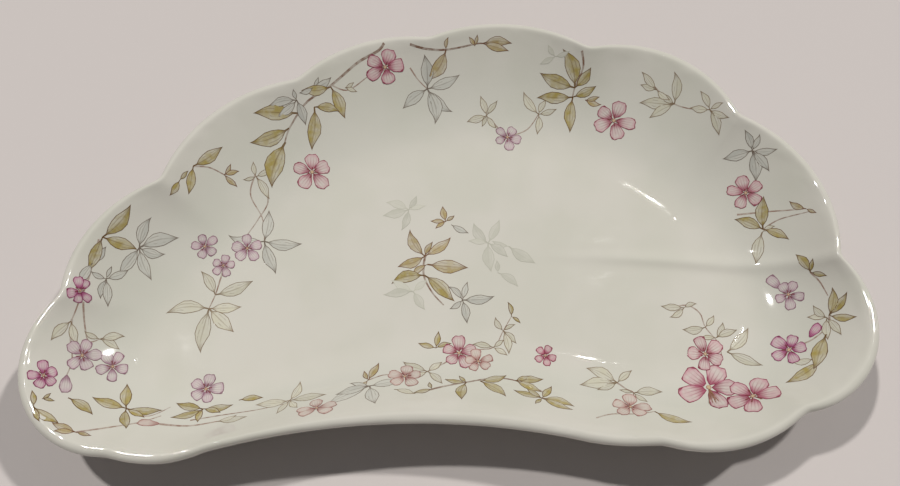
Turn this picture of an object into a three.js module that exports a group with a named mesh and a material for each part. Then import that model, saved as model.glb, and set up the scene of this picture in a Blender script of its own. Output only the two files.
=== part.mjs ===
// Bone dish: a half-moon side dish of glazed porcelain. A scalloped wall curves up from a flat well
// to a round lip, a moulded rib runs in from the right-hand notch, and a foot ring carries it all.
// Millimetres, +Z up. The origin is under the middle of the dish, on the surface that it stands on.
import * as THREE from "three";

// Overall size, over the lip
const dishLength = 170.0;
const dishWidth = 103.3;
const rimHeight = 17.0;

// Rim outline seen from above, going round clockwise. Each scallop starts at a notch, which is placed
// by shares of half the length and half the width, and swells out of the straight line to the next
// notch by a share of that line's length. The hollow side swells inwards.
const scallops = [
  { name: "left shoulder", along: -0.941, across: -0.339, swell: 0.164 },
  { name: "far left", along: -0.747, across: 0.184, swell: 0.157 },
  { name: "far middle left", along: -0.424, across: 0.697, swell: 0.133 },
  { name: "far middle", along: -0.071, across: 0.929, swell: 0.144 },
  { name: "far right", along: 0.371, across: 0.871, swell: 0.207 },
  { name: "right shoulder", along: 0.749, across: 0.513, swell: 0.173 },
  { name: "right end", along: 0.939, across: -0.17, swell: 0.3 },
  { name: "near right", along: 0.788, across: -0.807, swell: 0.136 },
  { name: "near right swell", along: 0.457, across: -0.925, swell: 0.045 },
  { name: "near hollow", along: 0.271, across: -0.906, swell: -0.06 },
  { name: "near left swell", along: -0.56, across: -0.955, swell: 0.1 },
  { name: "left end", along: -0.764, across: -0.97, swell: 0.338 },
];
const notchSoftness = 1.4; // half the length of rim that is averaged to round off a notch

// Section through the wall
const footHeight = 2.4;
const floorThickness = 3.0;
const lipThickness = 2.6;
const lipAngle = THREE.MathUtils.degToRad(36); // the wall's slope above level where it meets the lip
const lipSweepLength = 5.0; // how gently the wall runs into the lip
const farRun = 28.0; // level distance from the flat of the well to the outside of the lip
const nearRun = 21.5; // the same on the hollow side, where the wall is steeper
const endRun = 25.0; // and at the two ends
const wellSweepLength = 10.5; // how gently the wall leaves the well
const wellWaves = 4; // the well follows this many of the outline's slowest waves

// The middle of the well and the bowed line along it that the walls face, placed as the notches are
const wellMiddle = onPlan(-0.012, -0.077);
const wellLine = new THREE.QuadraticBezierCurve(
  onPlan(-0.53, -0.34),
  onPlan(0.0, 0.2),
  onPlan(0.58, -0.17),
);

// Moulded rib
const ribNotch = "right end"; // the rib ends at the notch where this scallop starts
const ribStart = onPlan(0.2, -0.075); // the place in the well where it fades in
const ribBow = 1.2; // how far its line bows to the far side on the way
const ribFadeLength = 30.0; // from its start to where it stands full
const ribHeight = 0.65;
const ribHalfWidth = 1.5;

// Foot ring
const footSetback = 0.4; // from the edge of the well in to the ring's outer edge
const footTopWidth = 5.0; // where it flares into the underside
const footWidth = 3.0;
const treadRound = 0.5; // rounding beside the tread that it stands on

// Fineness of the facets
const rimStep = 4.0; // mean length of a facet along the rim
const ribStep = 2.0; // the same on the two scallops beside the rib
const notchCrowding = 0.45; // how much closer the facets lie beside a notch
const wellRings = 8;
const wallRings = 8;
const lipRings = 5;
const footFlareRings = 3;
const treadRings = 2;
const meanPoints = 9; // points in a moving average
const outlinePoints = 360; // points on the outline that its box and its waves are read from

// A point of the plan by its shares of half the length and half the width.
function onPlan(along, across) {
  return new THREE.Vector2((along * dishLength) / 2, (across * dishWidth) / 2);
}

// The outline as a closed path of arcs, one for each scallop.
function scallopedPath() {
  const path = new THREE.CurvePath();
  scallops.forEach((scallop, i) => {
    const next = scallops[(i + 1) % scallops.length];
    const from = onPlan(scallop.along, scallop.across);
    const to = onPlan(next.along, next.across);
    const chord = to.clone().sub(from);
    const swell = scallop.swell * chord.length();
    const radius = (chord.lengthSq() / 4 + swell ** 2) / (2 * swell);
    const outward = new THREE.Vector2(-chord.y, chord.x).normalize();
    const centre = from.clone().lerp(to, 0.5).addScaledVector(outward, swell - radius);
    const size = Math.abs(radius);
    const fromAngle = from.clone().sub(centre).angle();
    const toAngle = to.clone().sub(centre).angle();
    path.add(new THREE.EllipseCurve(centre.x, centre.y, size, size, fromAngle, toAngle, swell > 0));
  });
  return path;
}

// The rim's line over a path, fitted to the overall length and width about the origin.
function fittedRim(path) {
  const box = new THREE.Box2().setFromPoints(path.getSpacedPoints(outlinePoints));
  const fit = new THREE.Vector2(dishLength, dishWidth).divide(box.getSize(new THREE.Vector2()));
  const middle = box.getCenter(new THREE.Vector2());
  return (place) => path.getPoint(place).sub(middle).multiply(fit);
}

// Places along the rim, as shares of its length, with one on each notch and more beside it.
function placesAlong(path) {
  const ends = path.getCurveLengths();
  const places = [];
  const notches = {};
  ends.forEach((end, i) => {
    const start = i ? ends[i - 1] : 0;
    const next = scallops[(i + 1) % scallops.length];
    const step = [scallops[i].name, next.name].includes(ribNotch) ? ribStep : rimStep;
    const count = Math.max(3, Math.round((end - start) / step));
    notches[scallops[i].name] = places.length;
    for (let k = 0; k < count; k++) {
      const turn = (2 * Math.PI * k) / count;
      const share = (turn - notchCrowding * Math.sin(turn)) / (2 * Math.PI);
      places.push((start + (end - start) * share) / path.getLength());
    }
  });
  return { places, notches };
}

// The rim at a place, with the notches rounded off by the mean of the points within reach either way.
function averagedRim(rimPoint, place, reach) {
  const mean = new THREE.Vector2();
  for (let k = 0; k < meanPoints; k++) {
    const shifted = place + reach * ((2 * k) / (meanPoints - 1) - 1);
    mean.add(rimPoint(shifted - Math.floor(shifted)));
  }
  return mean.divideScalar(meanPoints);
}

// The rim's slow waves alone: the smooth line that the scallops swing about.
function smoothedRim(rimPoint) {
  const waves = [];
  for (let n = 0; n <= wellWaves; n++) {
    const cosine = new THREE.Vector2();
    const sine = new THREE.Vector2();
    for (let k = 0; k < outlinePoints; k++) {
      const angle = (2 * Math.PI * n * k) / outlinePoints;
      const weight = (n ? 2 : 1) / outlinePoints;
      const point = rimPoint(k / outlinePoints);
      cosine.addScaledVector(point, weight * Math.cos(angle));
      sine.addScaledVector(point, weight * Math.sin(angle));
    }
    waves.push({ n, cosine, sine });
  }
  return (place) => {
    const point = new THREE.Vector2();
    for (const { n, cosine, sine } of waves) {
      const angle = 2 * Math.PI * n * place;
      point.addScaledVector(cosine, Math.cos(angle)).addScaledVector(sine, Math.sin(angle));
    }
    return point;
  };
}

// The dish's meridians, one at each place along the rim. Each runs inwards from the lip, facing the
// middle line of the well, to the edge of the well.
const path = scallopedPath();
const rimPoint = fittedRim(path);
const smoothedPoint = smoothedRim(rimPoint);
const { places, notches } = placesAlong(path);
const meridians = places.map((place) => {
  const lip = averagedRim(rimPoint, place, notchSoftness / path.getLength());
  const smooth = smoothedPoint(place);
  const faced = wellLine.getPoint(THREE.MathUtils.clamp(0.5 + smooth.x / dishLength, 0, 1));
  const inward = faced.sub(smooth).normalize();
  const sideRun = inward.y < 0 ? farRun : nearRun;
  const run = THREE.MathUtils.lerp(endRun, sideRun, inward.y ** 2);
  const well = smooth.clone().addScaledVector(inward, run);
  return { lip, smooth, inward, run, well };
});

// A meridian's point at a level distance `run` outside the edge of the well. The scallops grow with
// the square of the run, so that they fade out where the wall meets the well.
function planPoint(meridian, run) {
  const share = run / meridian.run;
  const swing = meridian.lip.clone().sub(meridian.smooth).multiplyScalar(share ** 2);
  return meridian.well.clone().lerp(meridian.smooth, share).add(swing);
}

// The section of a wall as (run, z): from the edge of the well up the inside, over the round lip and
// down the outside to the edge of the underside.
const wellTop = footHeight + floorThickness;
function wallSection(wallRun) {
  const lipRadius = lipThickness / 2;
  const lipCentre = new THREE.Vector2(wallRun - lipRadius, rimHeight - lipRadius);
  const lipNormal = new THREE.Vector2(0, lipRadius).rotateAround(new THREE.Vector2(), lipAngle);
  const lipSlope = new THREE.Vector2(-lipSweepLength, 0).rotateAround(new THREE.Vector2(), lipAngle);
  const insideEnd = lipCentre.clone().add(lipNormal);
  const inside = new THREE.CubicBezierCurve(
    new THREE.Vector2(0, wellTop),
    new THREE.Vector2(wellSweepLength, wellTop),
    insideEnd.clone().add(lipSlope),
    insideEnd,
  );
  const section = [];
  for (let k = 0; k <= wallRings; k++) {
    const at = inside.getPoint(k / wallRings);
    section.push({ run: at.x, z: at.y, inner: true });
  }
  for (let k = 1; k <= lipRings; k++) {
    const at = insideEnd.clone().rotateAround(lipCentre, (-Math.PI * k) / lipRings);
    section.push({ run: at.x, z: at.y, inner: false });
  }
  for (let k = wallRings - 1; k >= 0; k--) {
    const share = k / wallRings;
    const tangent = inside.getTangent(share);
    const thickness = THREE.MathUtils.lerp(floorThickness, lipThickness, share);
    const at = inside.getPoint(share);
    section.push({ run: at.x + thickness * tangent.y, z: at.y - thickness * tangent.x, inner: false });
  }
  return section;
}

// How far the rib stands out of the inside of the dish at a point: it fades in from its start in the
// well, runs up the wall in a slight bow and dies out at the notch in the rim.
const ribLine = meridians[notches[ribNotch]].lip.clone().sub(ribStart);
function ribRise(point, wallShare) {
  const offset = point.clone().sub(ribStart);
  const along = offset.dot(ribLine) / ribLine.length();
  const share = THREE.MathUtils.clamp(along / ribLine.length(), 0, 1);
  const aside = offset.cross(ribLine) / ribLine.length() + 4 * ribBow * share * (1 - share);
  const fadeIn = THREE.MathUtils.smoothstep(along, 0, ribFadeLength);
  const fadeOut = 1 - THREE.MathUtils.smoothstep(wallShare, 0, 1) ** 2;
  return ribHeight * fadeIn * fadeOut * Math.exp(-((aside / ribHalfWidth) ** 2));
}

// A closed solid over rings with the same count of points each. It is closed by a point at either
// end or, where none are given, joined from the last ring back to the first.
function loftedSolid(rings, ends = []) {
  const count = rings[0].length;
  const at = (ring, k) => (ring % rings.length) * count + (k % count);
  const strips = ends.length ? rings.length - 1 : rings.length;
  const triangles = [];
  for (let r = 0; r < strips; r++) {
    for (let k = 0; k < count; k++) {
      triangles.push(at(r, k), at(r, k + 1), at(r + 1, k + 1));
      triangles.push(at(r, k), at(r + 1, k + 1), at(r + 1, k));
    }
  }
  ends.forEach((_, i) => {
    const tip = rings.length * count + i;
    for (let k = 0; k < count; k++) {
      const edge = i ? [at(strips, k), at(strips, k + 1)] : [at(0, k + 1), at(0, k)];
      triangles.push(tip, ...edge);
    }
  });
  const geometry = new THREE.BufferGeometry();
  geometry.setFromPoints([...rings.flat(), ...ends]);
  geometry.setIndex(triangles);
  geometry.computeVertexNormals();
  return geometry;
}

// The porcelain shell: the well and the wall's inside, the lip, the outside and the underside.
function dishBody() {
  const rings = [];
  for (let k = 1; k < wellRings; k++) {
    rings.push(
      meridians.map(({ well }) => {
        const point = wellMiddle.clone().lerp(well, k / wellRings);
        return new THREE.Vector3(point.x, point.y, wellTop + ribRise(point, 0));
      }),
    );
  }
  const walls = meridians.map((meridian) =>
    wallSection(meridian.run).map(({ run, z, inner }) => {
      const point = planPoint(meridian, run);
      const rise = inner ? ribRise(point, run / meridian.run) : 0;
      return new THREE.Vector3(point.x, point.y, z + rise);
    }),
  );
  walls[0].forEach((_, k) => rings.push(walls.map((wall) => wall[k])));
  const top = new THREE.Vector3(wellMiddle.x, wellMiddle.y, wellTop);
  const bottom = new THREE.Vector3(wellMiddle.x, wellMiddle.y, footHeight);
  return loftedSolid(rings, [top, bottom]);
}

// The foot ring: a band under the edge of the well that flares into the underside above, and is
// rounded off beside the flat tread below.
function footRing() {
  const side = [];
  const flare = new THREE.QuadraticBezierCurve(
    new THREE.Vector2(footTopWidth / 2, footHeight),
    new THREE.Vector2(footWidth / 2, footHeight),
    new THREE.Vector2(footWidth / 2, treadRound),
  );
  for (let k = 0; k <= footFlareRings; k++) {
    side.push(flare.getPoint(k / footFlareRings));
  }
  const roundCentre = new THREE.Vector2(footWidth / 2 - treadRound, treadRound);
  const roundStart = new THREE.Vector2(footWidth / 2, treadRound);
  for (let k = 1; k <= treadRings; k++) {
    side.push(roundStart.clone().rotateAround(roundCentre, (-Math.PI / 2) * (k / treadRings)));
  }
  const otherSide = side.map(({ x, y }) => new THREE.Vector2(-x, y)).reverse();
  const inset = footSetback + footTopWidth / 2;
  const rings = [...side, ...otherSide].map((at) =>
    meridians.map(({ well, inward }) => {
      const point = well.clone().addScaledVector(inward, inset - at.x);
      return new THREE.Vector3(point.x, point.y, Math.max(0, at.y));
    }),
  );
  return loftedSolid(rings);
}

function piece(name, geometry, look) {
  const mesh = new THREE.Mesh(geometry, new THREE.MeshStandardMaterial(look));
  mesh.name = name;
  return mesh;
}

const dish = new THREE.Group();
dish.add(piece("dish_body", dishBody(), { color: 0xe8e4d8, roughness: 0.08, metalness: 0 }));
dish.add(piece("foot_ring", footRing(), { color: 0xddd5c4, roughness: 0.75, metalness: 0 }));

export default dish;
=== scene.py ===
# Bone dish: glazed porcelain with printed sprigs of flowers, on a foot with a bare tread.
import math
import random

import bmesh
import bpy
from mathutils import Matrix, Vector
from mathutils.bvhtree import BVHTree


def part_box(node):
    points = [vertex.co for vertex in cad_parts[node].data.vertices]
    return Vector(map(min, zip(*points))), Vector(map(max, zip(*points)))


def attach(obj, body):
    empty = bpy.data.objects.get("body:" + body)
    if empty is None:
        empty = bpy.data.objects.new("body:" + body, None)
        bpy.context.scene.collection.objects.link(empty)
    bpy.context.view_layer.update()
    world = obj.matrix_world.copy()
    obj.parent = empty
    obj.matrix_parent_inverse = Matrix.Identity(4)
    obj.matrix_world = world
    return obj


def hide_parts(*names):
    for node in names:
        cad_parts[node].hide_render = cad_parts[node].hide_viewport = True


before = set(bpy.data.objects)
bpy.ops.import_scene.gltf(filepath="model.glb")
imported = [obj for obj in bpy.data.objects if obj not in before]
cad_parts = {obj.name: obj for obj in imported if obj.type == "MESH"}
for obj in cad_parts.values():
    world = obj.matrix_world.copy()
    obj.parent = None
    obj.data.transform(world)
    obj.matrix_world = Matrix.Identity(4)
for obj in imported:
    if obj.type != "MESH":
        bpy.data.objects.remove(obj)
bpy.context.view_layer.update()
mm = 0.001
print("frame loaded:", sorted(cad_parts))


class Wire:
    # one output of a material's node, so that shader maths reads as plain sums

    def __init__(self, paint, socket):
        self.paint = paint
        self.socket = socket

    def maths(self, operation, *values):
        return self.paint.node("ShaderNodeMath", {"operation": operation}, dict(enumerate(values)))

    def __add__(self, other):
        return self.maths("ADD", self, other)

    def __radd__(self, other):
        return self.maths("ADD", other, self)

    def __sub__(self, other):
        return self.maths("SUBTRACT", self, other)

    def __rsub__(self, other):
        return self.maths("SUBTRACT", other, self)

    def __mul__(self, other):
        return self.maths("MULTIPLY", self, other)

    def __rmul__(self, other):
        return self.maths("MULTIPLY", other, self)

    def __abs__(self):
        return self.maths("ABSOLUTE", self)

    def fraction(self):
        return self.maths("FRACT", self)


class Paint:
    # one material, and the one way in which its nodes are made

    def __init__(self, name, **constants):
        self.material = bpy.data.materials.new(name)
        self.material.use_nodes = True
        self.tree = self.material.node_tree
        self.shader = self.tree.nodes["Principled BSDF"]
        for socket, value in constants.items():
            self.set(socket, value)

    def plug(self, socket, value):
        if isinstance(value, Wire):
            self.tree.links.new(value.socket, socket)
        else:
            socket.default_value = value

    def set(self, socket, value):
        self.plug(self.shader.inputs[socket], value)

    def node(self, kind, settings, sockets, output=0):
        made = self.tree.nodes.new(kind)
        for name, value in settings.items():
            setattr(made, name, value)
        for name, value in sockets.items():
            self.plug(made.inputs[name], value)
        return Wire(self, made.outputs[output])

    def place(self):
        return self.node("ShaderNodeTexCoord", {}, {}, "Object")

    def height(self):
        return self.node("ShaderNodeSeparateXYZ", {}, {"Vector": self.place()}, "Z")

    def noise(self, grain, detail=2.0):
        sockets = {"Vector": self.place(), "Scale": 1 / grain, "Detail": detail}
        return self.node("ShaderNodeTexNoise", {}, sockets)

    def ease(self, value, low, high):
        sockets = {"Value": value, "From Min": low, "From Max": high}
        return self.node("ShaderNodeMapRange", {"interpolation_type": "SMOOTHSTEP"}, sockets)

    def clamp(self, value):
        return self.node("ShaderNodeClamp", {}, {"Value": value})

    def mix(self, share, first, second):
        sockets = {0: share, 6: first, 7: second}  # the node's sockets for colours
        return self.node("ShaderNodeMix", {"data_type": "RGBA"}, sockets, 2)

    def attribute(self, name, output="Fac"):
        return self.node("ShaderNodeAttribute", {"attribute_name": name}, {}, output)

    def bump(self, height, depth):
        return self.node("ShaderNodeBump", {}, {"Height": height, "Distance": depth}, "Normal")


# Glazed porcelain
glaze = {
    "white": (0.60, 0.577, 0.515, 1.0),
    "cloud": (0.57, 0.555, 0.485, 1.0),  # faint uneven tone of the fired body
    "cloudGrain": 14.0 * mm,
    "cloudSpan": (0.35, 0.7),  # noise from clear to full cloud
    "pool": (0.52, 0.53, 0.46, 1.0),  # where the glaze gathers thickest
    "poolFoot": 5.4 * mm,
    "poolRise": 1.5 * mm,  # the height over which the pool comes in
    "poolTop": 9.0 * mm,
    "poolFade": 6.0 * mm,  # and over which it runs out
    "poolShare": 0.25,
    "ior": 1.52,
    "rippleGrain": 5.0 * mm,  # slow waviness that bends the reflections
    "rippleDepth": 0.04 * mm,
    "lipFoot": 15.0 * mm,  # above this the lip's own waviness comes in
    "lipTop": 16.7 * mm,
    "lipGrain": 6.0 * mm,
    "lipWaves": 8.0,  # over the slow waviness
    "roughness": 0.05,
    "wear": 0.02,  # how much duller the scuffed patches are
    "wearGrain": 9.0 * mm,
    "wearSpan": (0.5, 0.75),
}


def porcelainColour(paint):
    cloud = paint.ease(paint.noise(glaze["cloudGrain"]), *glaze["cloudSpan"])
    body = paint.mix(cloud, glaze["white"], glaze["cloud"])
    level = paint.height()
    pooled = paint.ease(level, glaze["poolFoot"], glaze["poolFoot"] + glaze["poolRise"])
    drained = 1 - paint.ease(level, glaze["poolTop"], glaze["poolTop"] + glaze["poolFade"])
    return paint.mix(glaze["poolShare"] * pooled * drained, body, glaze["pool"])


def finishGlaze(paint):
    scuffs = paint.ease(paint.noise(glaze["wearGrain"], detail=6.0), *glaze["wearSpan"])
    paint.set("Roughness", glaze["roughness"] + glaze["wear"] * scuffs)
    lip = paint.ease(paint.height(), glaze["lipFoot"], glaze["lipTop"])
    ripple = paint.noise(glaze["rippleGrain"], detail=1.0)
    swell = paint.noise(glaze["lipGrain"], detail=1.0) - 0.5  # noise lies about a half
    waves = glaze["lipWaves"] * lip * swell
    paint.set("Normal", paint.bump(ripple + waves, glaze["rippleDepth"]))


def glazedPorcelain():
    paint = Paint("glazedPorcelain", IOR=glaze["ior"])
    paint.set("Base Color", porcelainColour(paint))
    finishGlaze(paint)
    return paint.material


# Bare porcelain of the foot, ground flat below and glazed up its sides
bare = {
    "body": (0.56, 0.50, 0.41, 1.0),
    "stain": (0.36, 0.30, 0.23, 1.0),
    "grain": 0.35 * mm,
    "grainDepth": 0.03 * mm,
    "stainGrain": 4.0 * mm,
    "stainSpan": (0.45, 0.75),
    "stainShare": 0.5,
    "glazeLine": 0.7 * mm,  # height at which the glaze stops
    "lineSway": 0.5,  # how much that height wanders, over itself
    "lineBlur": 0.1 * mm,
    "roughness": 0.8,
}


def barePorcelain():
    paint = Paint("barePorcelain", IOR=glaze["ior"])
    sway = bare["lineSway"]
    line = bare["glazeLine"] * (1 - sway / 2 + sway * paint.noise(bare["stainGrain"]))
    glazed = paint.ease(paint.height() - line, -bare["lineBlur"], bare["lineBlur"])
    stained = paint.ease(paint.noise(bare["stainGrain"], detail=5.0), *bare["stainSpan"])
    ground = paint.mix(bare["stainShare"] * stained, bare["body"], bare["stain"])
    paint.set("Base Color", paint.mix(glazed, ground, porcelainColour(paint)))
    gloss = glaze["roughness"] - bare["roughness"]
    paint.set("Roughness", bare["roughness"] + gloss * glazed)
    grit = paint.noise(bare["grain"], detail=3.0) * (1 - glazed)
    paint.set("Normal", paint.bump(grit, bare["grainDepth"]))
    return paint.material


def makePiece(name, bm, material):
    mesh = bpy.data.meshes.new(name)
    bm.to_mesh(mesh)
    bm.free()
    mesh.shade_smooth()
    mesh.materials.append(material)
    piece = bpy.data.objects.new(name, mesh)
    bpy.context.scene.collection.objects.link(piece)
    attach(piece, "root")
    return piece


weldReach = 0.001 * mm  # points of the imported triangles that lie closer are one


def weldedCopy(node):
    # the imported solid's loose triangles, merged and paired into quads
    bm = bmesh.new()
    bm.from_mesh(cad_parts[node].data)
    bmesh.ops.remove_doubles(bm, verts=bm.verts, dist=weldReach)
    bmesh.ops.join_triangles(
        bm, faces=bm.faces, angle_face_threshold=math.pi, angle_shape_threshold=math.pi
    )
    return bm


def drawnIn(vert):
    # where the smoothing takes a point of the mesh to
    count = len(vert.link_edges)
    centre = sum((face.calc_center_median() for face in vert.link_faces), Vector()) / count
    halfway = ((vert.co + edge.other_vert(vert).co) / 2 for edge in vert.link_edges)
    middle = sum(halfway, Vector()) / count
    return ((count - 3) * vert.co + 4 * (centre + middle)) / (count + 5)  # subdivision's limit


def heldOut(bm, passes, foot, top):
    # moves the lip's points out by as much as the smoothing will draw them in
    goals = [vert.co.copy() for vert in bm.verts]
    shares = [min(1.0, max(0.0, (goal.z - foot) / (top - foot))) for goal in goals]
    for _ in range(passes):
        shifts = [goal - drawnIn(vert) for vert, goal in zip(bm.verts, goals)]
        for vert, shift, share in zip(bm.verts, shifts, shares):
            vert.co += shift * share


def smoothed(piece, levels):
    smooth = piece.modifiers.new("smooth", "SUBSURF")
    smooth.levels = levels
    smooth.render_levels = levels


# The dish
dishMake = {
    "levels": 2,
    "passes": 2,  # of moving the lip's points out
    "heldFoot": 8.0 * mm,  # from here up the lip keeps the solid's outline
    "heldTop": 14.0 * mm,
}


def glazedDish():
    shell = weldedCopy("dish_body")
    heldOut(shell, dishMake["passes"], dishMake["heldFoot"], dishMake["heldTop"])
    dish = makePiece("glazedDish", shell, glazedPorcelain())
    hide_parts("dish_body")
    smoothed(dish, dishMake["levels"])
    return dish


# The foot, with its joint to the dish kept sharp
footMake = {
    "levels": 2,
    "sharp": 1.0,
    "jointReach": 0.01 * mm,  # edges this close to the top belong to the joint
}


def bareFoot():
    bm = weldedCopy("foot_ring")
    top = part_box("foot_ring")[1].z
    crease = bm.edges.layers.float.new("crease_edge")
    for edge in bm.edges:
        if all(top - vert.co.z < footMake["jointReach"] for vert in edge.verts):
            edge[crease] = footMake["sharp"]
    foot = makePiece("bareFoot", bm, barePorcelain())
    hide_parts("foot_ring")
    smoothed(foot, footMake["levels"])


dish = glazedDish()
bareFoot()
surface = BVHTree.FromObject(dish, bpy.context.evaluated_depsgraph_get())
print("dish and foot made")


# Printed colours: the wash of a petal or leaf, and the ink that draws its lines
inks = {
    "olive": ((0.33, 0.26, 0.08), (0.12, 0.06, 0.02)),
    "ochre": ((0.37, 0.285, 0.125), (0.15, 0.07, 0.035)),
    "sage": ((0.535, 0.51, 0.40), (0.20, 0.14, 0.085)),
    "mist": ((0.475, 0.47, 0.42), (0.16, 0.125, 0.095)),
    "ghost": ((0.515, 0.505, 0.43), (0.47, 0.46, 0.385)),
    "pink": ((0.53, 0.29, 0.32), (0.24, 0.055, 0.08)),
    "rose": ((0.49, 0.21, 0.265), (0.22, 0.035, 0.065)),
    "blush": ((0.51, 0.36, 0.32), (0.30, 0.15, 0.13)),
    "lilac": ((0.48, 0.335, 0.385), (0.23, 0.125, 0.155)),
    "plum": ((0.46, 0.17, 0.29), (0.20, 0.035, 0.09)),
    "twig": ((0.17, 0.08, 0.045), (0.17, 0.08, 0.045)),
    "tendril": ((0.25, 0.15, 0.11), (0.25, 0.15, 0.11)),
    "stamen": ((0.22, 0.06, 0.05), (0.17, 0.04, 0.04)),
    "anther": ((0.36, 0.20, 0.10), (0.22, 0.09, 0.06)),
    "eye": ((0.52, 0.40, 0.25), (0.30, 0.10, 0.09)),
}

# How the flakes of colour lie on the glaze
flake = {
    "thickness": 0.12 * mm,
    "above": 100.0 * mm,  # height that a flake's middle and a stem's points drop from
    "reach": 4.0 * mm,  # how far off the dish a flake's other points start
    "weld": 0.002 * mm,
    "seed": 7,
    "shade": (0.9, 1.1),  # how much lighter or darker one flake is than another
    "breakGrain": 0.9 * mm,  # the printed lines fade and thicken over about this length
    "breaks": (0.6, 0.75),  # the least strength of a line, and what noise adds
    "lineCore": 0.3,  # share of a line's width at full strength
}
vary = random.Random(flake["seed"])


def newSheet():
    # a mesh that carries where each point is on its leaf or petal, and its two colours
    bm = bmesh.new()
    for name in ("along", "across", "edge"):
        bm.verts.layers.float.new(name)
    for name in ("wash", "ink"):
        bm.verts.layers.float_color.new(name)
    return bm


def mark(bm, vert, along, across, edge, colours):
    layers = bm.verts.layers
    vert[layers.float["along"]] = along
    vert[layers.float["across"]] = across
    vert[layers.float["edge"]] = edge
    vert[layers.float_color["wash"]] = (*colours[0], 1.0)
    vert[layers.float_color["ink"]] = (*colours[1], 1.0)


def tinted(tint):
    shade = vary.uniform(*flake["shade"])
    return [[channel * shade for channel in colour] for colour in inks[tint]]


def dropDown(x, y):
    start = Vector((x * mm, y * mm, flake["above"]))
    point, normal, _, _ = surface.ray_cast(start, Vector((0.0, 0.0, -1.0)))
    return point, normal


def layFlake(bm, cells, shape, at, heading, tint, lift):
    # shape gives millimetres forward, aside and in from the outline for a place on the flake
    base, normal = dropDown(*at)
    angle = math.radians(heading)
    aside = normal.cross(Vector((math.cos(angle), math.sin(angle), 0.0))).normalized()
    forward = aside.cross(normal)
    colours = tinted(tint)
    grid = bmesh.ops.create_grid(bm, x_segments=cells[0], y_segments=cells[1], size=1.0)
    for vert in grid["verts"]:
        along = 0.5 + 0.5 * math.sin(math.pi / 2 * vert.co.x)  # closer rows at both ends
        across = vert.co.y
        ahead, side, edge = shape(along, across)
        mark(bm, vert, along, across, edge, colours)
        start = base + (forward * ahead + aside * side) * mm + normal * flake["reach"]
        point, glazeNormal, _, _ = surface.ray_cast(start, -normal)
        vert.co = point + glazeNormal * lift


def closeSheet(bm, name, material):
    # merges the pinched ends, keeps the outline crisp and gives the colour its thickness
    bmesh.ops.remove_doubles(bm, verts=bm.verts, dist=flake["weld"])
    for edge in bm.edges:
        edge.smooth = not edge.is_boundary
    piece = makePiece(name, bm, material)
    solid = piece.modifiers.new("thickness", "SOLIDIFY")
    solid.thickness = flake["thickness"]
    solid.offset = -1.0


# Leaves
leafMake = {
    "cells": (9, 2),
    "lift": 0.02 * mm,
    "step": 0.004 * mm,  # leaves that cross lie at heights of their own
    "layers": 6,
    "slimness": (0.155, 0.2),  # half width over length
    "stalk": 0.1,  # share of the length that is a bare stalk
    "stalkWidth": 0.1,
    "belly": 0.9,  # below 1 the leaf is widest nearer its stalk
    "fullness": 0.85,  # below 1 its sides are rounder
    "tip": 0.6,  # from here on the leaf is drawn out to a point
    "tipNarrow": 0.5,
    "tipClose": 16,  # how late the point closes
    "bend": 0.1,
    "curl": 0.9,  # sideways sweep of the drawn-out tip
    "curlStart": 0.7,
    "inkWidth": 0.21,
    "toneGrain": 1.7 * mm,
    "toneSpan": (0.32, 0.68),
    "toneShare": 0.4,  # the most that uneven tone thins the wash
    "thinSide": (-0.4, 0.6),  # one half of each leaf is washed thinner
    "thinShare": 0.3,
    "stalkInk": (0.08, 0.26),  # the ink runs into the wash at both ends
    "tipInk": (0.72, 1.0),
    "endShare": 0.7,
    "midrib": (0.03, 0.14),
    "midribInk": (0.65, 0.5),  # its strength at the stalk, and what it loses by the tip
    "veinPlace": 0.5,  # between midrib and outline
    "vein": (0.02, 0.12),
    "veinInk": 0.4,
    "veinBreaks": (0.3, 0.8),
}

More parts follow.
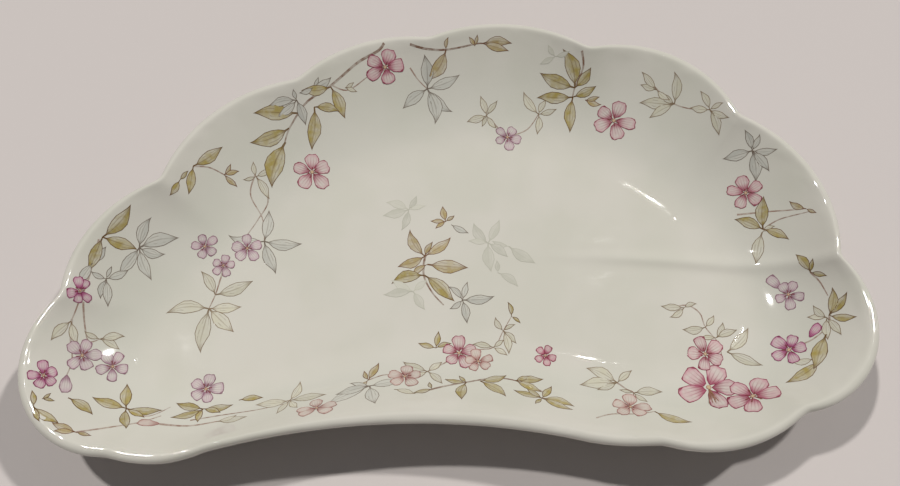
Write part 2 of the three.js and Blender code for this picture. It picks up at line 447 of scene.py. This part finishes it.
# Sprigs: colour, the place that their leaves spread from, and each leaf's heading and length
sprigs = [
    # left rim
    ("olive", -73.4, -4.4, ((58, 9.0), (-12, 7.5), (-98, 8.0))),
    ("mist", -67.0, -4.8, ((84, 7.0), (16, 8.5), (-14, 5.5), (-58, 7.5), (-118, 7.5))),
    ("mist", -74.8, -10.0, ((64, 4.5), (246, 5.5))),
    ("mist", -72.4, -12.5, ((24, 5.0), (-72, 6.0), (-98, 4.5), (165, 3.5), (75, 3.0))),
    ("sage", -77.4, -22.4, ((226, 5.5), (-62, 5.0))),
    ("sage", -72.6, -24.8, ((14, 5.0), (-22, 4.5), (165, 3.5))),
    ("olive", -79.8, -41.0, ((-24, 6.0), (108, 3.6), (-60, 3.4))),
    ("olive", -75.2, -38.2, ((-24, 6.0),)),
    ("olive", -79.0, -39.2, ((5, 2.4), (50, 2.2))),
    ("ochre", -71.4, -45.6, ((172, 5.0), (190, 4.0), (-6, 3.0))),
    # near wall, left half
    ("olive", -65.0, -39.2, ((94, 6.0), (176, 7.0), (8, 7.0), (-78, 6.0), (-24, 4.5))),
    ("sage", -46.5, -42.0, ((8, 6.0), (28, 4.0))),
    ("olive", -50.2, -38.8, ((168, 6.0), (8, 6.0), (206, 6.5), (-92, 4.0), (-18, 4.0))),
    ("olive", -43.4, -36.8, ((4, 5.0),)),
    ("sage", -32.8, -37.4, ((80, 5.5), (178, 7.0), (6, 7.5), (-100, 5.0), (-60, 4.0))),
    ("mist", -16.8, -34.6, ((202, 7.0), (224, 10.0), (-76, 7.5), (152, 4.5), (12, 6.5))),
    ("ochre", -17.2, -33.0, ((70, 5.0), (110, 3.0), (250, 4.0))),
    ("sage", -11.8, -35.8, ((-36, 5.0),)),
    ("sage", -5.2, -31.2, ((150, 6.0), (46, 4.0), (-58, 5.0), (220, 4.0))),
    ("olive", -3.6, -25.4, ((165, 4.0), (82, 4.0), (18, 3.5))),
    # branch along the near wall
    ("olive", 2.6, -34.0, ((-98, 6.5), (168, 4.5), (120, 2.5))),
    ("olive", 5.4, -33.6, ((-48, 7.0), (24, 6.0))),
    ("olive", 12.6, -33.2, ((8, 6.0), (30, 3.5), (-34, 6.0))),
    ("olive", -4.2, -35.8, ((204, 4.0), (100, 2.5))),
    ("olive", 17.6, -37.6, ((160, 6.0), (62, 5.0), (120, 4.5),
                            (-16, 6.5), (-40, 6.5), (-122, 3.0))),
    ("sage", 8.4, -25.2, ((170, 4.5), (40, 3.0), (-30, 3.5))),
    ("sage", 10.6, -21.4, ((120, 3.5), (30, 3.0), (-50, 4.0), (-80, 5.5))),
    ("olive", 12.4, -18.2, ((100, 3.5), (-40, 2.5))),
    # floor, left of the middle
    ("mist", -41.8, -0.4, ((176, 8.0), (86, 7.5), (-4, 8.5), (-64, 8.5))),
    ("sage", -51.2, -13.2, ((122, 6.5), (24, 8.5))),
    ("sage", -52.2, -16.4, ((186, 9.0), (-97, 10.0), (-42, 8.0), (2, 7.0))),
    ("sage", -44.4, 14.2, ((105, 3.5), (32, 4.0), (200, 3.0), (-58, 6.0))),
    # far wall, left half
    ("olive", -57.0, 13.6, ((42, 8.0), (-84, 6.5))),
    ("olive", -59.4, 9.8, ((252, 4.0), (60, 3.0))),
    ("ochre", -51.0, 13.4, ((20, 3.5), (-35, 4.0), (70, 3.0))),
    ("olive", -35.4, 28.6, ((178, 10.0),)),
    ("olive", -37.4, 25.4, ((206, 9.5),)),
    ("olive", -38.2, 22.4, ((-101, 11.0),)),
    ("olive", -31.8, 30.4, ((-86, 10.0), (-6, 6.0))),
    ("olive", -28.2, 35.2, ((-62, 8.0), (188, 7.0))),
    ("mist", -35.6, 31.0, ((198, 6.6), (228, 6.0), (-68, 6.0), (110, 2.6))),
    ("mist", -32.0, 34.2, ((34, 5.0), (74, 2.8), (206, 3.6))),
    ("sage", -25.0, 35.6, ((-20, 3.0), (40, 2.5))),
    ("mist", -6.0, 37.0, ((96, 8.0), (26, 8.5), (224, 7.5), (-48, 8.0), (-74, 8.5))),
    ("ochre", -1.6, 45.0, ((-112, 8.5), (88, 3.0))),
    ("ochre", 5.2, 46.2, ((80, 2.8), (118, 2.6))),
    ("ochre", 7.0, 46.8, ((0, 7.0), (-18, 6.5))),
    # far wall, right half
    ("sage", 8.0, 31.8, ((108, 5.0), (54, 4.5), (196, 5.0), (-58, 4.0), (250, 3.0))),
    ("sage", 20.2, 32.0, ((122, 6.5), (16, 4.5), (-98, 5.0), (60, 4.0))),
    ("olive", 28.6, 37.0, ((98, 9.5), (154, 9.0), (52, 6.0))),
    ("olive", 28.2, 35.2, ((176, 8.5), (26, 6.0), (-96, 8.5))),
    ("ochre", 31.0, 34.4, ((-22, 4.0), (16, 3.5))),
    ("ghost", 24.0, 43.6, ((24, 3.6), (110, 3.2), (210, 4.0))),
    ("sage", 51.0, 31.4, ((78, 7.5), (172, 8.0), (208, 6.5), (130, 4.0))),
    ("sage", 47.2, 35.0, ((118, 5.5), (-44, 4.0), (154, 4.0))),
    ("sage", 58.2, 28.4, ((104, 5.0), (168, 4.5), (22, 3.4), (-84, 6.5), (-30, 5.0))),
    ("mist", 66.4, 17.8, ((2, 5.4), (96, 5.0), (54, 4.0), (196, 6.5), (-94, 7.0), (-60, 6.0))),
    ("ochre", 75.6, 3.0, ((150, 4.0), (-30, 2.5))),
    ("olive", 67.8, 0.8, ((78, 7.5), (152, 6.5), (-28, 6.0))),
    ("sage", 67.6, 0.2, ((-108, 7.5), (20, 3.0))),
    # middle
    ("ochre", -6.2, -4.0, ((120, 7.5), (36, 7.5), (200, 6.5), (62, 4.0))),
    ("ochre", -5.6, -6.0, ((-4, 9.0), (222, 4.5))),
    ("olive", -6.2, -8.6, ((192, 7.5), (-46, 9.0))),
    ("mist", 2.0, -14.4, ((76, 4.5), (4, 7.0), (-82, 5.5), (132, 4.5), (-142, 3.5))),
    ("ochre", -1.6, 4.6, ((102, 4.0), (182, 3.5), (34, 2.5), (215, 3.0))),
    ("mist", -0.4, 3.8, ((-28, 4.5),)),
    ("ghost", -10.0, 7.6, ((158, 5.5), (194, 6.0), (62, 4.0), (-104, 5.5), (16, 4.0))),
    ("ghost", 7.8, -0.8, ((124, 6.0), (64, 6.5), (172, 4.5), (-40, 5.5), (-86, 7.0))),
    ("ghost", 12.4, -1.6, ((-34, 7.0), (160, 4.0))),
    ("ghost", 9.8, -8.0, ((-38, 5.5), (90, 3.0))),
    ("ghost", -8.6, -12.4, ((148, 5.5), (190, 6.5), (-62, 5.0), (44, 4.0))),
    # right lobe
    ("olive", 75.0, -10.8, ((122, 5.0), (-10, 3.5), (60, 3.0))),
    ("olive", 77.0, -20.6, ((34, 6.0), (66, 6.0), (-14, 5.5))),
    ("sage", 76.6, -21.0, ((-94, 5.0), (168, 4.0), (-58, 5.0), (130, 4.0))),
    ("olive", 75.8, -24.6, ((-112, 8.5),)),
    ("olive", 73.4, -30.2, ((206, 8.5), (64, 4.0))),
    ("sage", 72.6, -29.6, ((172, 4.5),)),
    # near wall, right half
    ("sage", 49.4, -16.2, ((178, 5.0), (216, 4.0), (20, 3.0))),
    ("sage", 53.4, -20.6, ((186, 5.0), (48, 3.5))),
    ("sage", 55.4, -23.0, ((60, 4.0), (18, 5.0), (180, 3.5))),
    ("sage", 57.2, -26.2, ((44, 7.5), (-32, 7.5))),
    ("sage", 33.6, -33.0, ((150, 7.0), (188, 8.0), (42, 4.5), (206, 5.0))),
    ("sage", 36.6, -35.4, ((4, 6.0), (-46, 3.5), (164, 3.0))),
    ("olive", 39.8, -40.0, ((-38, 7.5),)),
]


def leafShape(length):
    slim = vary.uniform(*leafMake["slimness"]) * length
    bend = vary.uniform(-leafMake["bend"], leafMake["bend"]) * length
    curl = vary.uniform(-leafMake["curl"], leafMake["curl"]) * length

    def shape(along, across):
        blade = max(0.0, (along - leafMake["stalk"]) / (1 - leafMake["stalk"]))
        swell = math.sin(math.pi * blade ** leafMake["belly"]) ** leafMake["fullness"]
        tip = max(0.0, (along - leafMake["tip"]) / (1 - leafMake["tip"]))
        closing = math.sqrt(max(0.0, 1 - along ** leafMake["tipClose"]))
        full = max(leafMake["stalkWidth"], swell)
        halfWidth = slim * full * (1 - leafMake["tipNarrow"] * tip) * closing
        sweep = curl * max(0.0, along - leafMake["curlStart"]) ** 2
        side = bend * math.sin(math.pi * along) + sweep + halfWidth * across
        return length * along, side, halfWidth * (1 - abs(across))

    return shape


def printedLines(paint, width):
    # the outline, broken as a worn transfer's is
    least, more = flake["breaks"]
    strength = least + more * paint.noise(flake["breakGrain"])
    return (1 - paint.ease(paint.attribute("edge"), flake["lineCore"] * width, width)) * strength


def leafPaint():
    paint = Paint("printedLeaf", IOR=glaze["ior"])
    along = paint.attribute("along")
    across = paint.attribute("across")
    wash = paint.attribute("wash", "Color")
    ink = paint.attribute("ink", "Color")
    tone = paint.ease(paint.noise(leafMake["toneGrain"], detail=3.0), *leafMake["toneSpan"])
    thin = paint.ease(across, *leafMake["thinSide"])
    cover = 1 - leafMake["toneShare"] * tone - leafMake["thinShare"] * thin
    body = paint.mix(cover, porcelainColour(paint), wash)
    ends = paint.ease(along, *leafMake["tipInk"]) + 1 - paint.ease(along, *leafMake["stalkInk"])
    body = paint.mix(leafMake["endShare"] * ends, body, ink)
    most, loss = leafMake["midribInk"]
    midrib = (1 - paint.ease(abs(across), *leafMake["midrib"])) * (most - loss * along)
    offVein = abs(abs(across) - leafMake["veinPlace"])
    veins = leafMake["veinInk"] * (1 - paint.ease(offVein, *leafMake["vein"]))
    veins = veins * paint.ease(tone, *leafMake["veinBreaks"])
    lines = printedLines(paint, leafMake["inkWidth"]) + midrib + veins
    paint.set("Base Color", paint.mix(paint.clamp(lines), body, ink))
    finishGlaze(paint)
    return paint.material


def printedLeaves():
    bm = newSheet()
    count = 0
    for tint, x, y, leaves in sprigs:
        for heading, length in leaves:
            lift = leafMake["lift"] + leafMake["step"] * (count % leafMake["layers"])
            layFlake(bm, leafMake["cells"], leafShape(length), (x, y), heading, tint, lift)
            count += 1
    closeSheet(bm, "printedLeaves", leafPaint())
    print("leaves printed:", count)


printedLeaves()


# Petals
petalMake = {
    "cells": (6, 4),
    "lift": 0.044 * mm,
    "step": 0.003 * mm,  # each petal lies a little over the one before
    "layers": 3,  # and neighbouring blossoms over each other
    "count": 5,
    "base": 0.06,  # from the middle to where a petal starts, over the blossom's width
    "slimness": 0.16,  # half a petal's width over the blossom's
    "budSlimness": 0.25,
    "taper": 0.36,  # how much broader a petal is towards its end
    "notch": 0.05,
    "notchSlim": 9,
    "uneven": (0.84, 1.08),
    "turnSway": 8,  # degrees
    "ruffle": 0.04,  # depth of the outline's waves
    "ruffles": (4, 7),  # and how many go round
    "inkWidth": 0.2,
    "toneGrain": 1.4 * mm,
    "toneSpan": (0.3, 0.7),
    "throat": (0.0, 0.5),  # the wash is deeper here along the petal
    "throatInk": 0.7,
    "rim": (0.1, 0.7),  # and this near the outline
    "cover": (0.2, 0.3, 0.5, 0.35),  # wash all over, then by tone, throat and rim
    "veins": 2.5,  # on each half of a petal
    "vein": (0.06, 0.2),
    "veinInk": (0.5, 0.45),  # its strength at the throat, and what it loses
    "veinFade": (0.2, 0.95),
}

# Blossoms: colour, place, width and turn of the first petal
blossoms = [
    ("plum", -76.2, -16.3, 6.0, 50),
    ("lilac", -75.0, -28.8, 7.4, 84),
    ("lilac", -69.6, -30.2, 7.0, 66),
    ("plum", -80.0, -34.3, 6.4, 40),
    ("lilac", -50.6, -34.2, 7.6, 74),
    ("blush", -26.6, -40.2, 8.0, 96),
    ("blush", -9.8, -32.4, 7.4, 20),
    ("pink", 1.2, -26.6, 8.2, 88),
    ("blush", 5.2, -28.6, 6.4, 30),
    ("rose", 19.2, -27.0, 5.4, 60),
    ("lilac", -54.4, -2.4, 6.4, 40),
    ("lilac", -50.2, -6.4, 5.6, 78),
    ("lilac", -45.4, -2.2, 7.0, 95),
    ("pink", -32.2, 16.6, 9.6, 100),
    ("rose", -15.8, 40.8, 9.6, 74),
    ("lilac", 12.8, 26.6, 6.8, 62),
    ("pink", 37.6, 29.6, 10.0, 64),
    ("pink", 65.0, 9.4, 8.2, 96),
    ("lilac", 71.0, -14.4, 6.8, 50),
    ("plum", 69.0, -26.8, 8.2, 62),
    ("pink", 52.6, -26.6, 8.8, 110),
    ("rose", 52.0, -34.2, 12.6, -80),
    ("rose", 59.6, -37.0, 10.8, 58),
    ("blush", 35.2, -39.0, 8.2, 82),
]

# Buds: colour, place, heading and length
buds = [
    ("lilac", -76.6, -33.4, -88, 4.6),
    ("blush", -57.6, -42.6, 180, 4.6),
    ("lilac", 69.8, -12.8, 130, 4.4),
    ("plum", 73.0, -24.6, 40, 4.0),
]


def petalShape(start, length, halfWidth):
    length *= vary.uniform(*petalMake["uneven"])
    halfWidth *= vary.uniform(*petalMake["uneven"])
    turns = [vary.uniform(0, 2 * math.pi) for _ in petalMake["ruffles"]]

    def shape(along, across):
        x = 2 * along - 1
        u = x * math.sqrt(1 - across * across / 2)  # the square grid rounded to a disc
        v = across * math.sqrt(1 - x * x / 2)
        inward = halfWidth * (1 - math.hypot(u, v))
        angle = math.atan2(v, u)
        waves = sum(math.sin(n * angle + turn) for n, turn in zip(petalMake["ruffles"], turns))
        u *= 1 + petalMake["ruffle"] * waves
        v *= 1 + petalMake["ruffle"] * waves
        dent = max(0.0, u) ** 4 * math.exp(-petalMake["notchSlim"] * v * v)
        side = halfWidth * v * (1 + petalMake["taper"] * u)
        return start + length * (1 + u) / 2 - petalMake["notch"] * length * dent, side, inward

    return shape


def petalPaint():
    paint = Paint("printedPetal", IOR=glaze["ior"])
    along = paint.attribute("along")
    across = paint.attribute("across")
    wash = paint.attribute("wash", "Color")
    ink = paint.attribute("ink", "Color")
    tone = paint.ease(paint.noise(petalMake["toneGrain"], detail=3.0), *petalMake["toneSpan"])
    throat = 1 - paint.ease(along, *petalMake["throat"])
    rim = 1 - paint.ease(paint.attribute("edge"), *petalMake["rim"])
    allOver, byTone, byThroat, byRim = petalMake["cover"]
    cover = allOver + byTone * tone + byThroat * throat + byRim * rim
    body = paint.mix(paint.clamp(cover), porcelainColour(paint), wash)
    body = paint.mix(petalMake["throatInk"] * throat, body, ink)
    offVein = abs((petalMake["veins"] * across).fraction() - 0.5)
    most, loss = petalMake["veinInk"]
    strength = most - loss * paint.ease(along, *petalMake["veinFade"])
    veins = (1 - paint.ease(offVein, *petalMake["vein"])) * strength
    lines = printedLines(paint, petalMake["inkWidth"]) + veins
    paint.set("Base Color", paint.mix(paint.clamp(lines), body, ink))
    finishGlaze(paint)
    return paint.material


def printedPetals():
    bm = newSheet()
    for number, (tint, x, y, width, turn) in enumerate(blossoms):
        start = petalMake["base"] * width
        layer = number % petalMake["layers"] * petalMake["count"]
        for k in range(petalMake["count"]):
            shape = petalShape(start, width / 2 - start, petalMake["slimness"] * width)
            sway = vary.uniform(-petalMake["turnSway"], petalMake["turnSway"])
            heading = turn + 360 * k / petalMake["count"] + sway
            lift = petalMake["lift"] + (layer + k) * petalMake["step"]
            layFlake(bm, petalMake["cells"], shape, (x, y), heading, tint, lift)
    for tint, x, y, heading, length in buds:
        shape = petalShape(0.0, length, petalMake["budSlimness"] * length)
        layFlake(bm, petalMake["cells"], shape, (x, y), heading, tint, petalMake["lift"])
    closeSheet(bm, "printedPetals", petalPaint())
    print("blossoms and buds printed:", len(blossoms) + len(buds))


printedPetals()


# Hearts of the blossoms: a pale eye and the stamens round it
heartMake = {
    "lift": 0.093 * mm,
    "step": 0.003 * mm,  # the eye lies a little over the stamens
    "cells": (4, 2),
    "stamens": 7,
    "uneven": (0.7, 1.15),
    "turnSway": 12,  # degrees
    "stamenReach": 0.17,  # over the blossom's width
    "stamenSlimness": 0.1,
    "stamenRoot": 0.12,  # where a stamen begins, over its length
    "large": 12.0,  # a blossom wider than this has long stamens that hang to one side
    "longReach": 0.36,
    "longSlimness": 0.024,
    "hang": -86,  # degrees
    "spread": 4,
    "eyeCells": (6, 4),
    "eye": 0.042,  # half its width over the blossom's
    "rim": (0.05, 0.25),
    "rimInk": 0.75,
}


def stamenShape(length, slimness):
    root = heartMake["stamenRoot"]

    def shape(along, across):
        # thicker towards its rounded end
        halfWidth = slimness * length * (0.5 + along ** 4) * math.sqrt(max(0.0, 1 - along ** 8))
        ahead = length * (root + (1 - root) * along)
        return ahead, halfWidth * across, halfWidth * (1 - abs(across))

    return shape


def eyeShape(radius):
    def shape(along, across):
        halfWidth = 2 * radius * math.sqrt(max(0.0, along * (1 - along)))
        return 2 * radius * along - radius, halfWidth * across, halfWidth * (1 - abs(across))

    return shape


def heartPaint():
    paint = Paint("printedHeart", IOR=glaze["ior"])
    rim = 1 - paint.ease(paint.attribute("edge"), *heartMake["rim"])
    wash = paint.attribute("wash", "Color")
    ink = paint.attribute("ink", "Color")
    paint.set("Base Color", paint.mix(heartMake["rimInk"] * rim, wash, ink))
    finishGlaze(paint)
    return paint.material


def printedHearts():
    bm = newSheet()
    for _, x, y, width, turn in blossoms:
        for k in range(heartMake["stamens"]):
            length = width * vary.uniform(*heartMake["uneven"])
            sway = vary.uniform(-heartMake["turnSway"], heartMake["turnSway"])
            heading = turn + 360 * k / heartMake["stamens"] + sway
            shape = stamenShape(heartMake["stamenReach"] * length, heartMake["stamenSlimness"])
            ink = "stamen"
            if width > heartMake["large"]:
                place = k - heartMake["stamens"] // 2
                heading = heartMake["hang"] + heartMake["spread"] * place
                shape = stamenShape(heartMake["longReach"] * length, heartMake["longSlimness"])
                ink = "anther"
            layFlake(bm, heartMake["cells"], shape, (x, y), heading, ink, heartMake["lift"])
        eye = eyeShape(heartMake["eye"] * width)
        lift = heartMake["lift"] + heartMake["step"]
        layFlake(bm, heartMake["eyeCells"], eye, (x, y), turn, "eye", lift)
    closeSheet(bm, "printedHearts", heartPaint())
    print("hearts printed:", len(blossoms))


printedHearts()


# Stems and tendrils: colour, width and the points that they pass
stemMake = {
    "lift": 0.014 * mm,
    "step": 0.7,  # millimetres from facet to facet
    "fewest": 4,
    "taper": 0.5,
    "feel": 0.01,  # how far to each side the line's direction is read
    "toneGrain": 1.2 * mm,
    "toneSpan": (0.3, 0.7),
    "cover": (0.95, 0.5),  # the fullest wash, and what uneven tone takes from it
}
stems = [
    ("twig", 0.6, ((-16.0, 45.4), (-17.4, 43.8), (-22.2, 40.9), (-28.0, 35.6),
                   (-33.4, 31.0), (-37.2, 25.6), (-38.4, 22.0))),
    ("twig", 0.5, ((-10.0, 45.4), (-6.0, 44.6), (-1.6, 45.0), (5.2, 46.6), (7.0, 46.8))),
    ("twig", 0.5, ((30.0, 43.6), (30.4, 40.6), (28.6, 37.0), (28.0, 34.6))),
    ("twig", 0.55, ((-5.8, -2.6), (-6.4, -6.0), (-6.2, -9.2), (-4.4, -12.8), (-2.0, -15.6))),
    ("twig", 0.45, ((-6.6, -36.8), (-2.0, -35.2), (2.6, -34.0),
                    (8.0, -32.8), (12.6, -33.2), (18.4, -36.0))),
    ("tendril", 0.35, ((-44.6, 14.6), (-45.4, 10.0), (-42.6, 5.0), (-41.8, -0.4))),
    ("tendril", 0.35, ((-44.2, 14.0), (-41.6, 9.4), (-43.6, 4.6), (-46.0, 0.4))),
    ("tendril", 0.4, ((-50.0, -7.0), (-50.6, -10.0), (-51.2, -13.2), (-52.2, -16.4))),
    ("tendril", 0.35, ((-74.0, -5.0), (-74.8, -10.0), (-75.4, -15.0),
                       (-76.4, -19.0), (-77.4, -22.4))),
    ("tendril", 0.35, ((-77.3, -22.0), (-77.2, -26.0), (-76.4, -30.0), (-76.6, -33.4))),
    ("tendril", 0.35, ((-75.6, -17.0), (-75.4, -21.6), (-74.4, -25.6), (-72.6, -24.8))),
    ("tendril", 0.4, ((-71.4, -45.6), (-66.0, -43.8), (-61.6, -42.4), (-58.0, -40.6))),
    ("tendril", 0.5, ((-57.6, -42.6), (-52.0, -43.0), (-46.5, -42.0))),
    ("tendril", 0.3, ((-52.0, -41.6), (-46.0, -40.4), (-39.0, -39.4), (-32.8, -38.0))),
    ("tendril", 0.35, ((9.0, 31.0), (10.4, 29.2), (12.4, 27.4))),
    ("tendril", 0.35, ((14.0, 27.0), (17.6, 28.6), (20.2, 32.0))),
    ("tendril", 0.35, ((46.4, 36.0), (48.6, 33.6), (51.0, 31.4), (54.0, 29.8), (58.2, 28.4))),
    ("tendril", 0.4, ((63.0, 5.0), (69.0, 4.4), (75.6, 3.0))),
    ("tendril", 0.35, ((67.8, 0.8), (71.0, 2.2), (76.0, 2.2))),
    ("tendril", 0.35, ((-10.0, 41.0), (-8.2, 38.8), (-6.0, 37.0))),
    ("tendril", 0.35, ((-28.0, 35.6), (-24.4, 35.2), (-20.0, 38.4))),
    ("tendril", 0.35, ((-57.0, 13.6), (-54.0, 14.2), (-51.0, 13.4), (-48.6, 12.2))),
    ("tendril", 0.35, ((46.4, -16.4), (50.0, -15.6), (52.6, -17.4),
                       (53.4, -20.6), (55.6, -24.0), (56.0, -27.0))),
    ("tendril", 0.35, ((33.6, -33.0), (35.4, -34.6), (36.6, -35.4), (35.6, -38.0))),
    ("tendril", 0.3, ((27.6, -42.2), (31.0, -41.0), (36.0, -40.8), (39.8, -40.0))),
    ("tendril", 0.35, ((77.0, -20.6), (76.8, -22.6), (75.8, -24.6), (74.4, -28.0), (73.4, -30.2))),
    ("tendril", 0.4, ((70.0, -26.2), (73.0, -25.4), (75.8, -23.6))),
    ("tendril", 0.3, ((75.0, -10.8), (76.4, -13.2), (77.4, -16.4))),
    ("tendril", 0.3, ((-17.2, -33.0), (-14.0, -31.8), (-11.0, -32.2))),
    ("tendril", 0.3, ((-5.2, -31.2), (-1.0, -28.6), (4.0, -26.0),
                      (8.4, -25.2), (10.6, -21.4), (12.4, -18.2))),
    ("tendril", 0.3, ((-65.0, -39.2), (-60.6, -40.8), (-56.8, -38.4))),
]


def routePoint(points, share):
    # a smooth line through the points, by the curve of four neighbours
    reach = share * (len(points) - 1)
    k = min(int(reach), len(points) - 2)
    t = reach - k
    before = Vector(points[max(k - 1, 0)])
    start = Vector(points[k])
    end = Vector(points[k + 1])
    after = Vector(points[min(k + 2, len(points) - 1)])
    curve = 2 * start + (end - before) * t + (2 * before - 5 * start + 4 * end - after) * t ** 2
    return 0.5 * (curve + (3 * start - before - 3 * end + after) * t ** 3)


def layStem(bm, tint, width, points):
    length = sum((Vector(b) - Vector(a)).length for a, b in zip(points, points[1:]))
    count = max(stemMake["fewest"], round(length / stemMake["step"]))
    colours = tinted(tint)
    grid = bmesh.ops.create_grid(bm, x_segments=count, y_segments=2, size=1.0)
    for vert in grid["verts"]:
        along = (vert.co.x + 1) / 2
        across = vert.co.y
        ahead = routePoint(points, min(1.0, along + stemMake["feel"]))
        ahead = ahead - routePoint(points, max(0.0, along - stemMake["feel"]))
        halfWidth = width / 2 * (1 - stemMake["taper"] * along)
        aside = Vector((-ahead.y, ahead.x)).normalized() * halfWidth * across
        place = routePoint(points, along) + aside
        mark(bm, vert, along, across, halfWidth * (1 - abs(across)), colours)
        point, normal = dropDown(place.x, place.y)
        vert.co = point + normal * stemMake["lift"]


def stemPaint():
    paint = Paint("printedStem", IOR=glaze["ior"])
    tone = paint.ease(paint.noise(stemMake["toneGrain"]), *stemMake["toneSpan"])
    wash = paint.attribute("wash", "Color")
    most, loss = stemMake["cover"]
    paint.set("Base Color", paint.mix(most - loss * tone, porcelainColour(paint), wash))
    finishGlaze(paint)
    return paint.material


def printedStems():
    bm = newSheet()
    for tint, width, points in stems:
        layStem(bm, tint, width, points)
    closeSheet(bm, "printedStems", stemPaint())
    print("stems printed:", len(stems))


printedStems()


# Floor, light and camera
stageMake = {
    "floorColour": (0.56, 0.515, 0.495, 1.0),
    "floorRoughness": 0.9,
    "floorSize": 20.0,
    "lamps": (  # towards the lamp, its width as an angle, and its strength
        ((-0.36, 0.30, 1.0), 0.05, 1.64),
        ((0.66, 0.40, 1.0), 0.05, 1.64),
        ((0.19, 0.47, 1.0), 0.008, 0.025),  # only a sparkle on the glaze
    ),
    "lampColour": (1.0, 0.985, 0.96),
    "fill": (0.15, 0.15, 0.155, 1.0),
}


def paleFloor():
    bm = bmesh.new()
    bmesh.ops.create_grid(bm, x_segments=1, y_segments=1, size=stageMake["floorSize"] / 2)
    mesh = bpy.data.meshes.new("floor")
    bm.to_mesh(mesh)
    bm.free()
    floor = bpy.data.objects.new("floor", mesh)
    bpy.context.scene.collection.objects.link(floor)
    paint = Paint("paleFloor", Roughness=stageMake["floorRoughness"])
    paint.set("Base Color", stageMake["floorColour"])
    mesh.materials.append(paint.material)


def softLamps():
    for count, (towards, width, strength) in enumerate(stageMake["lamps"]):
        light = bpy.data.lights.new(f"lamp{count}", "SUN")
        light.angle = width
        light.energy = strength
        light.color = stageMake["lampColour"]
        lamp = bpy.data.objects.new(f"lamp{count}", light)
        lamp.location = towards
        lamp.rotation_euler = Vector(towards).to_track_quat("Z", "Y").to_euler()
        bpy.context.scene.collection.objects.link(lamp)
    world = bpy.data.worlds.new("fill")
    world.use_nodes = True
    world.node_tree.nodes["Background"].inputs["Color"].default_value = stageMake["fill"]
    bpy.context.scene.world = world


camera = {
    "place": (-0.66 * mm, -87.2 * mm, 182.6 * mm),
    "tilt": math.radians(26),  # away from straight down
    "lens": 35.6,  # millimetres, as the sensor's width is
    "sensor": 36.0,
    "clipStart": 0.01,
}


def photoCamera():
    view = bpy.data.cameras.new("camera")
    view.lens = camera["lens"]
    view.sensor_width = camera["sensor"]
    view.clip_start = camera["clipStart"]
    holder = bpy.data.objects.new("camera", view)
    holder.location = camera["place"]
    holder.rotation_euler = (camera["tilt"], 0.0, 0.0)
    bpy.context.scene.collection.objects.link(holder)
    bpy.context.scene.camera = holder


paleFloor()
softLamps()
photoCamera()
bpy.context.scene.view_settings.view_transform = "Standard"
print("stage set")
